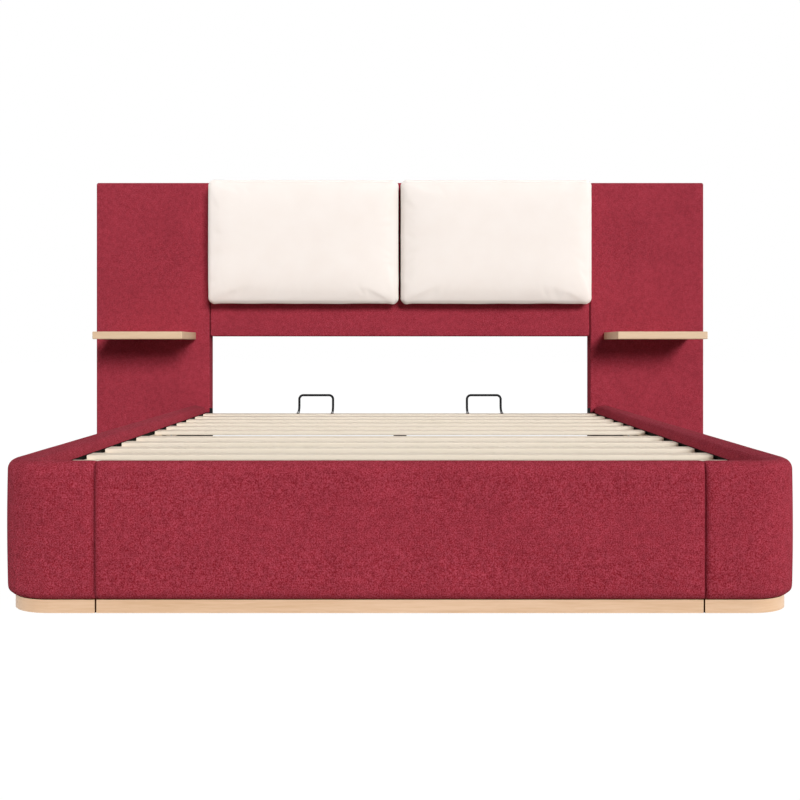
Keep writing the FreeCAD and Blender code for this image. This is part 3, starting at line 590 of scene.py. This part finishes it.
# %% Cream brushed cotton
def brushed_cotton():
    thread = 1.5 * mm
    blotch = 90 * mm
    fuzz_share = 0.6
    nap_share = 0.25
    nap_height = 0.12 * mm
    material, tree, shader = new_material("cream_brushed_cotton")
    solid = add_node(tree, "TexCoord").outputs["Object"]
    cloth = add_node(tree, "UVMap", uv_map="cloth").outputs[0]
    wave_scale = wave_period / thread
    twill = add_node(tree, "TexWave", {"Vector": cloth, "Scale": wave_scale, "Distortion": 0.6},
                     bands_direction="DIAGONAL")
    fuzz = add_node(tree, "TexNoise", {"Vector": solid, "Scale": 1 / thread, "Detail": 3.0})
    nap = add_node(tree, "Mix", {0: fuzz_share, 2: twill.outputs["Fac"], 3: fuzz.outputs["Fac"]})
    blotches = add_node(tree, "TexNoise", {"Vector": solid, "Scale": 1 / blotch, "Detail": 2.0})
    tone = add_node(tree, "Mix", {0: nap_share, 2: blotches.outputs["Fac"], 3: nap.outputs[0]})
    colour = add_node(tree, "Mix", {0: tone.outputs[0], 6: paint("#F0E6DF"), 7: paint("#F6EFEA")},
                      data_type="RGBA")
    tree.links.new(colour.outputs[2], shader.inputs["Base Color"])
    bump = add_node(tree, "Bump", {"Height": nap.outputs[0], "Distance": nap_height, "Strength": 0.5})
    tree.links.new(bump.outputs[0], shader.inputs["Normal"])
    shader.inputs["Roughness"].default_value = 0.85
    shader.inputs["Specular IOR Level"].default_value = 0.3
    shader.inputs["Sheen Weight"].default_value = 0.1
    shader.inputs["Sheen Roughness"].default_value = 0.5
    return material


cream_cloth = brushed_cotton()
print("made", cream_cloth.name)

# %% [markdown]
# Back cushions. Each is a boxed cushion: a front and a back panel with a band sewn between them, and
# a soft fill that makes the band belly out past the seam. It could be modelled by hand, but creases
# drawn by hand seldom look like cloth. A plain pillow shape comes first, as a grid of small squares
# whose seam is known. Cloth simulation then blows it up a little, while the seam thread, which is
# shorter than the panels, draws puckers along the edge. The flat back is pinned.

# %% Cushion outline
cushion_step = 7.5 * mm
seam_inset = 7.5 * mm
corner_round = 20 * mm
edge_roll = 22 * mm
edge_fall = 7 * mm


def rounded_place(across, up, half_width, half_height, radius):
    """A place on a rounded rectangle, from shares of -1 to 1 across and up."""
    x = across * half_width
    z = up * half_height
    in_x = abs(x) - (half_width - radius)
    in_z = abs(z) - (half_height - radius)
    if in_x <= 0 or in_z <= 0:
        return x, z
    round_x = in_x * math.sqrt(1 - in_z ** 2 / (2 * radius ** 2))
    round_z = in_z * math.sqrt(1 - in_x ** 2 / (2 * radius ** 2))
    return math.copysign(half_width - radius + round_x, x), math.copysign(half_height - radius + round_z, z)


def rolled_edge(share, half):
    """How far a panel falls at a share of -1 to 1 of half its size, close to its edge."""
    inward = (1 - abs(share)) * half
    return edge_fall * max(0, 1 - inward / edge_roll) ** 2


def rim(grid):
    """The outer ring of a grid of vertices, from the lower left corner to the right and round."""
    bottom = grid[0]
    right = [row[-1] for row in grid[1:]]
    top = grid[-1][-2::-1]
    left = [row[0] for row in grid[-2:0:-1]]
    return bottom + right + top + left


print("cushion squares of", round(cushion_step / mm, 1), "mm")

# %% Cushion band
band_rows = 14
band_wave = 0.5
band_fullness = 0.4
band_slack_below = 0.6
band_wave_length = 130 * mm


def band_rings(bm, front_rim, back_rim, middle, half_width, half_height):
    """Rings of vertices from the front rim to the back rim, which belly out past the seam."""
    rings = [front_rim]
    for k in range(1, band_rows):
        share = k / band_rows
        ring = []
        for a, b in zip(front_rim, back_rim):
            place = a.co.lerp(b.co, share)
            outward = Vector((place.x - middle.x, 0, place.z - middle.z))
            reach_x = max(0, abs(outward.x) - half_width + corner_round + seam_inset)
            reach_z = max(0, abs(outward.z) - half_height + corner_round + seam_inset)
            turned = (math.copysign(reach_x, outward.x), 0, math.copysign(reach_z, outward.z))
            outward = Vector(turned).normalized()
            downward = max(0, -outward.z)
            wave = 1 + (band_wave * noise.noise(place / band_wave_length) - band_slack_below) * downward
            belly = seam_inset * wave * math.sin(math.pi * share) ** band_fullness
            ring.append(bm.verts.new(place + outward * belly))
        rings.append(ring)
    return rings + [back_rim]


print("band of", band_rows, "rows")

# %% Cushion shape
back_inset = 14 * mm
seam_fall = {"left": {"left": 3 * mm, "right": 26 * mm, "bottom": 30 * mm, "top": 22 * mm},
             "right": {"left": 22 * mm, "right": 26 * mm, "bottom": 30 * mm, "top": 22 * mm}}
crown_power = {"left": 3, "right": 3, "bottom": 3, "top": 2.3}


def cushion_mesh(name, low, high, fall):
    """A boxed cushion as a grid, and the numbers of the vertices on its back and its seam."""
    bm = bmesh.new()
    cloth = bm.loops.layers.uv.new("cloth")
    middle = (low + high) / 2
    half_width = (high.x - low.x) / 2
    half_height = (high.z - low.z) / 2
    depth = high.y - low.y
    columns = round(2 * half_width / cushion_step)
    rows = round(2 * half_height / cushion_step)

    def spot(across, up, inset, deep):
        x, z = rounded_place(across, up, half_width - inset, half_height - inset, corner_round)
        return bm.verts.new((middle.x + x, high.y - deep, middle.z + z))

    def panel(inset, depth_at):
        grid = []
        shares = [2 * i / columns - 1 for i in range(columns + 1)]
        for j in range(rows + 1):
            up = 2 * j / rows - 1
            grid.append([spot(across, up, inset, depth_at(across, up)) for across in shares])
        return grid

    def crown(across, up):
        side = "right" if across > 0 else "left"
        level = "top" if up > 0 else "bottom"
        side_fall = fall[side] * abs(across) ** crown_power[side] + rolled_edge(across, half_width)
        level_fall = fall[level] * abs(up) ** crown_power[level] + rolled_edge(up, half_height)
        return depth - math.hypot(side_fall, level_fall)

    front = panel(seam_inset, crown)
    back = panel(back_inset, lambda across, up: 0)

    for grid, turn in ((front, 1), (back, -1)):
        for j in range(rows):
            for i in range(columns):
                ring = (grid[j][i], grid[j][i + 1], grid[j + 1][i + 1], grid[j + 1][i])
                face = bm.faces.new(ring[::turn])
                for loop in face.loops:
                    loop[cloth].uv = (loop.vert.co.x, loop.vert.co.z)
    front_rim = rim(front)
    bands = band_rings(bm, front_rim, rim(back), middle, half_width, half_height)
    count = len(front_rim)
    for k in range(band_rows):
        for i in range(count):
            j = (i + 1) % count
            face = bm.faces.new((bands[k][i], bands[k + 1][i], bands[k + 1][j], bands[k][j]))
            for loop, (m, n) in zip(face.loops, ((i, k), (i, k + 1), (i + 1, k + 1), (i + 1, k))):
                loop[cloth].uv = (m * cushion_step, n * depth / band_rows)
    bmesh.ops.recalc_face_normals(bm, faces=bm.faces)
    bm.verts.index_update()
    pinned = [vert.index for row in back for vert in row]
    top_seam = [vert.index for vert in front[-1]]
    lower_seam = [vert.index for vert in front_rim if vert not in front[-1]]
    mesh = bpy.data.meshes.new(name)
    bm.to_mesh(mesh)
    bm.free()
    return mesh, pinned, top_seam, lower_seam


print("a cushion falls to its seams on", *crown_power)

# %% Blowing up a cushion
cushion_pressure = 4
seam_shrink = 0.012
swell_cap = 6 * mm
simulated_frames = 20


def blow_up(piece):
    """Runs the cloth for a few frames, and keeps the result within a cap."""
    rest = [vert.co.copy() for vert in piece.data.vertices]
    cloth = piece.modifiers.new("cloth", "CLOTH").settings
    cloth.quality = 6
    cloth.mass = 0.3
    cloth.tension_stiffness = 12
    cloth.compression_stiffness = 12
    cloth.bending_stiffness = 1.5
    cloth.use_pressure = True
    cloth.uniform_pressure_force = cushion_pressure
    cloth.effector_weights.gravity = 0
    cloth.vertex_group_mass = "back"
    cloth.vertex_group_shrink = "seam"
    cloth.shrink_max = seam_shrink
    for number in range(1, simulated_frames + 1):
        bpy.context.scene.frame_set(number)
    shown = piece.evaluated_get(bpy.context.evaluated_depsgraph_get())
    moved = [vert.co.copy() for vert in shown.data.vertices]
    piece.modifiers.clear()
    bpy.context.scene.frame_set(1)
    furthest = 0
    for vert, start, end in zip(piece.data.vertices, rest, moved):
        step = end - start
        furthest = max(furthest, step.length)
        if step.length > 0:
            vert.co = start + step * (swell_cap * math.tanh(step.length / swell_cap) / step.length)
    return furthest


print("cloth runs for", simulated_frames, "frames")

# %% Sewing a cushion
seam_groove = 5 * mm


def fit_box(piece, low, high):
    """Stretches a piece a little so that it fills its box again."""
    places = [vert.co.copy() for vert in piece.data.vertices]
    for axis in range(3):
        start = min(place[axis] for place in places)
        stretch = (high[axis] - low[axis]) / (max(place[axis] for place in places) - start)
        for vert, place in zip(piece.data.vertices, places):
            vert.co[axis] = low[axis] + (place[axis] - start) * stretch


def sew(piece):
    """Subdivides the cushion and sinks its seam."""
    piece.modifiers.new("finer", "SUBSURF").levels = 1
    bpy.context.view_layer.update()
    shown = piece.evaluated_get(bpy.context.evaluated_depsgraph_get())
    finer = bpy.data.meshes.new_from_object(shown, preserve_all_data_layers=True,
                                            depsgraph=bpy.context.evaluated_depsgraph_get())
    piece.modifiers.clear()
    piece.data = finer
    seam = piece.vertex_groups["seam"].index
    facings = [vert.normal.copy() for vert in finer.vertices]
    for vert, facing in zip(finer.vertices, facings):
        weight = sum(group.weight for group in vert.groups if group.group == seam)
        vert.co -= facing * seam_groove * weight


print("seams sink by", round(seam_groove / mm, 1), "mm")

# %% Two back cushions
lower_seam_share = 0.3
cushion_shift = Vector((-1.5 * mm, 0, 0))
cloth_proud = Vector((0, 8 * mm, 0))
for side_name in ("left", "right"):
    low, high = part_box(f"cushion_{side_name}")
    low += cushion_shift - cloth_proud
    high += cushion_shift
    name = f"back_cushion_{side_name}"
    mesh, pinned, top_seam, lower_seam = cushion_mesh(name, low, high, seam_fall[side_name])
    cushion = new_piece(name, mesh, cream_cloth)
    cushion.vertex_groups.new(name="back").add(pinned, 1, "REPLACE")
    seam = cushion.vertex_groups.new(name="seam")
    seam.add(top_seam, 1, "REPLACE")
    seam.add(lower_seam, lower_seam_share, "REPLACE")
    print("cloth moved", round(blow_up(cushion) / mm, 1), "mm")
    fit_box(cushion, low, high)
    sew(cushion)
    dress(cushion, f"cushion_{side_name}", f"{side_name}_cushion")
    print(cushion.name, len(cushion.data.polygons), "faces")

# %% [markdown]
# Timber. Three timbers show: pale lacquered oak on the plinth and the shelves, birch on the slats
# and their ledgers, and rough pine in the hidden frames. Grain is noise stretched along the board: a
# few millimetres wide, and ten times as long or more. Planed and lacquered wood gives the eye
# soft streaks and a low gloss, and raw wood gives streaks and no gloss. Pictures of boards could be
# used, but each would need laying out on its board, and noise in the solid runs round every edge. The
# lengths of plinth have no lacquer on their ends, where stain soaks in and leaves thin dark lines. Along
# the plinth's top edge a thin dark line with no gloss is painted shade, for the shadow that the cover's
# rolled lower edge throws there.


# %% Timber finishes
def timber(name, light, dark, grain_width, stretch, roughness, coat=0.0):
    """Wood whose streaks are grain_width wide, and longer by the stretch in X, Y and Z."""
    band_width = 6 * grain_width
    band_share = 0.45
    pore_depth = 0.15 * mm
    material, tree, shader = new_material(name)
    solid = add_node(tree, "TexCoord").outputs["Object"]
    drawn = add_node(tree, "Mapping", {"Vector": solid, "Scale": [1 / part for part in stretch]}).outputs[0]
    streaks = add_node(tree, "TexNoise", {"Vector": drawn, "Scale": 1 / grain_width, "Detail": 4.0,
                                          "Roughness": 0.6, "Distortion": 0.3})
    bands = add_node(tree, "TexNoise", {"Vector": drawn, "Scale": 1 / band_width, "Detail": 2.0})
    figure = add_node(tree, "Mix", {0: band_share, 2: streaks.outputs["Fac"], 3: bands.outputs["Fac"]})
    contrast = add_node(tree, "MapRange", {"Value": figure.outputs[0], "From Min": 0.36, "From Max": 0.64})
    colour = add_node(tree, "Mix", {0: contrast.outputs[0], 6: paint(dark), 7: paint(light)},
                      data_type="RGBA")
    tree.links.new(colour.outputs[2], shader.inputs["Base Color"])
    bump = add_node(tree, "Bump", {"Height": streaks.outputs["Fac"], "Distance": pore_depth,
                                   "Strength": 0.35})
    tree.links.new(bump.outputs[0], shader.inputs["Normal"])
    shader.inputs["Roughness"].default_value = roughness
    shader.inputs["IOR"].default_value = 1.5
    shader.inputs["Coat Weight"].default_value = coat
    shader.inputs["Coat Roughness"].default_value = 0.35
    return material


def stain_joints_and_paint_top_shade(material, joint_x, joint_width, shade_z):
    """Stains a dark, dull line in a timber at plus and minus one X, and paints shade on it, dark and dull,
    above one height.
    """
    tree = material.node_tree
    shader = tree.nodes["Principled BSDF"]
    grain = shader.inputs["Base Color"].links[0].from_socket
    solid = add_node(tree, "TexCoord").outputs["Object"]
    place = add_node(tree, "SeparateXYZ", {0: solid}).outputs
    outward = add_node(tree, "Math", {0: place["X"]}, operation="ABSOLUTE").outputs[0]
    joint = add_node(tree, "Math", {0: outward, 1: joint_x, 2: joint_width / 2}, operation="COMPARE")
    # Above this height the plinth's top edge gets painted shade, for the shadow of the cover's rolled lower
    # edge.
    edge = add_node(tree, "Math", {0: place["Z"], 1: shade_z}, operation="GREATER_THAN")
    stain_and_shade = add_node(tree, "Math", {0: joint.outputs[0], 1: edge.outputs[0]}, operation="MAXIMUM").outputs[0]
    # One dark brown serves as the stain in the joints and as painted shade along the top edge.
    colour = add_node(tree, "Mix", {0: stain_and_shade, 6: grain, 7: paint("#40200F")}, data_type="RGBA")
    tree.links.new(colour.outputs[2], shader.inputs["Base Color"])
    # Gloss stays where there is neither joint stain nor painted shade.
    lacquered = add_node(tree, "Math", {0: 1.0, 1: stain_and_shade}, operation="SUBTRACT").outputs[0]
    for name in ("Specular IOR Level", "Coat Weight"):
        full = shader.inputs[name].default_value
        shine = add_node(tree, "Math", {0: lacquered, 1: full}, operation="MULTIPLY")
        tree.links.new(shine.outputs[0], shader.inputs[name])


print("timber helpers ready")

# %% Oak, birch and pine
across_boards = (14, 1, 1)
along_boards = (1, 14, 1)
level_boards = (14, 14, 1)
upright_boards = (1, 1, 14)
oak_grain = 4 * mm
birch_grain = 5 * mm
pine_grain = 7 * mm
joint_line = 3.4 * mm
# Height of the painted shade line along the plinth's top edge.
top_shade_line = 2.4 * mm
lacquered_oak = timber("lacquered_oak", "#E2BF9E", "#D4AE89", oak_grain, level_boards,
                       roughness=0.45, coat=0.15)
shelf_oak = timber("lacquered_oak_shelf", "#D8BC9C", "#D1B291", oak_grain, across_boards,
                   roughness=0.6, coat=0.05)
planed_birch = timber("planed_birch", "#EBDECC", "#E8DBC7", birch_grain, across_boards, roughness=0.6)
ledger_birch = timber("planed_birch_ledger", "#EBDCC6", "#DCCBB0", birch_grain, along_boards, roughness=0.6)
rough_pine = timber("rough_pine", "#D9B888", "#BF9862", pine_grain, upright_boards, roughness=0.75)
# The lines at the joints are stain. The line along the top edge is painted shade under the cover's roll.
stain_joints_and_paint_top_shade(lacquered_oak, (rail_low.x + foot_high.x) / 2, joint_line, rail_low.z - top_shade_line)
print("timbers", lacquered_oak.name, planed_birch.name, rough_pine.name)

# %% [markdown]
# Metal, plastic and lining. Powder-coated steel is a dark matt paint with a faint orange peel.
# Zinc-plated steel is a pale metal with cloudy patches. The lining is a black spunbonded sheet, whose
# matted fibres swallow light. On the back of the headboard, which the lamps barely reach, the same
# sheet is painted greyer, as painted light that lets its texture show.
# The feet are moulded plastic, a dull and even black, and the strips are looped nylon, a fuzzy
# off-white. Each could have its own function, but all are one colour with a fine grain, so one
# function makes them, and only the size of the grain and the shine differ.


# %% Other finishes
def grained(name, light, dark, grain, roughness, metallic=0.0, gloss=0.5, height=0.05 * mm):
    """A finish with one even grain: its two colours, its size, its shine and the height of its bumps."""
    material, tree, shader = new_material(name)
    solid = add_node(tree, "TexCoord").outputs["Object"]
    speckle = add_node(tree, "TexNoise", {"Vector": solid, "Scale": 1 / grain, "Detail": 3.0})
    colour = add_node(tree, "Mix", {0: speckle.outputs["Fac"], 6: paint(dark), 7: paint(light)},
                      data_type="RGBA")
    tree.links.new(colour.outputs[2], shader.inputs["Base Color"])
    bump = add_node(tree, "Bump", {"Height": speckle.outputs["Fac"], "Distance": height, "Strength": 0.5})
    tree.links.new(bump.outputs[0], shader.inputs["Normal"])
    shader.inputs["Roughness"].default_value = roughness
    shader.inputs["Metallic"].default_value = metallic
    shader.inputs["Specular IOR Level"].default_value = gloss
    return material


powder_coat = grained("black_powder_coat", "#1C1C1F", "#101012", 0.8 * mm, roughness=0.6, gloss=0.1)
zinc_plate = grained("zinc_plated_steel", "#C6C9CD", "#A3A7AC", 6 * mm, roughness=0.35, metallic=1.0)
spunbond = grained("black_spunbond", "#34322E", "#171614", 2.5 * mm, roughness=0.95, gloss=0.0,
                   height=0.3 * mm)
# The same black sheet with lighter colours: painted light for the unlit back of the headboard.
back_spunbond_painted_light = grained("black_spunbond_painted_lighter", "#4A4A4C", "#212123", 2.5 * mm, roughness=0.95, gloss=0.1,
                        height=0.3 * mm)
moulded_plastic = grained("black_moulded_plastic", "#262628", "#1A1A1C", 0.5 * mm, roughness=0.55)
looped_nylon = grained("looped_nylon", "#EEE9E2", "#D2CBC1", 0.9 * mm, roughness=0.95, height=0.6 * mm)
print("other finishes made")

# %% [markdown]
# Finishes on the frame. Everything that isn't cloth is shown as the solid model has it. Each node
# could be given its finish by name, but the record already names a material slot for every node. So
# one table from slots to finishes dresses them all. A second table holds the few nodes that look
# different from the rest of their slot, such as boards whose grain runs another way.

# %% Finishes on the frame
slot_finish = {"pine": rough_pine, "black_lining": spunbond, "black_steel": powder_coat,
               "zinc_steel": zinc_plate, "black_plastic": moulded_plastic, "hook_and_loop": looped_nylon,
               "birch": planed_birch, "pale_oak": lacquered_oak, "red_fabric": red_cloth,
               "cream_fabric": cream_cloth}
# The headboard's back linings take the copy of the sheet painted lighter, as painted light.
node_finish = {"centre_lining": back_spunbond_painted_light, "wing_linings": back_spunbond_painted_light,
               "ledger_left": ledger_birch, "ledger_right": ledger_birch,
               "shelf_left": shelf_oak, "shelf_right": shelf_oak}
for subpart in frame["record"]["subparts"]:
    name = subpart["node"]
    finish = node_finish.get(name, slot_finish[subpart["material_slot"]])
    for material_slot in frame["nodes"][name].material_slots:
        material_slot.material = finish

# %% [markdown]
# Last, the size of the dressed bed is printed, as the size of the frame was at the start. Cloth may
# stand proud of the frame by only a little.

# %% Size and finish
bpy.context.view_layer.update()
low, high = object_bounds()
print("dressed box", [round(v, 4) for v in (*low, *high)])
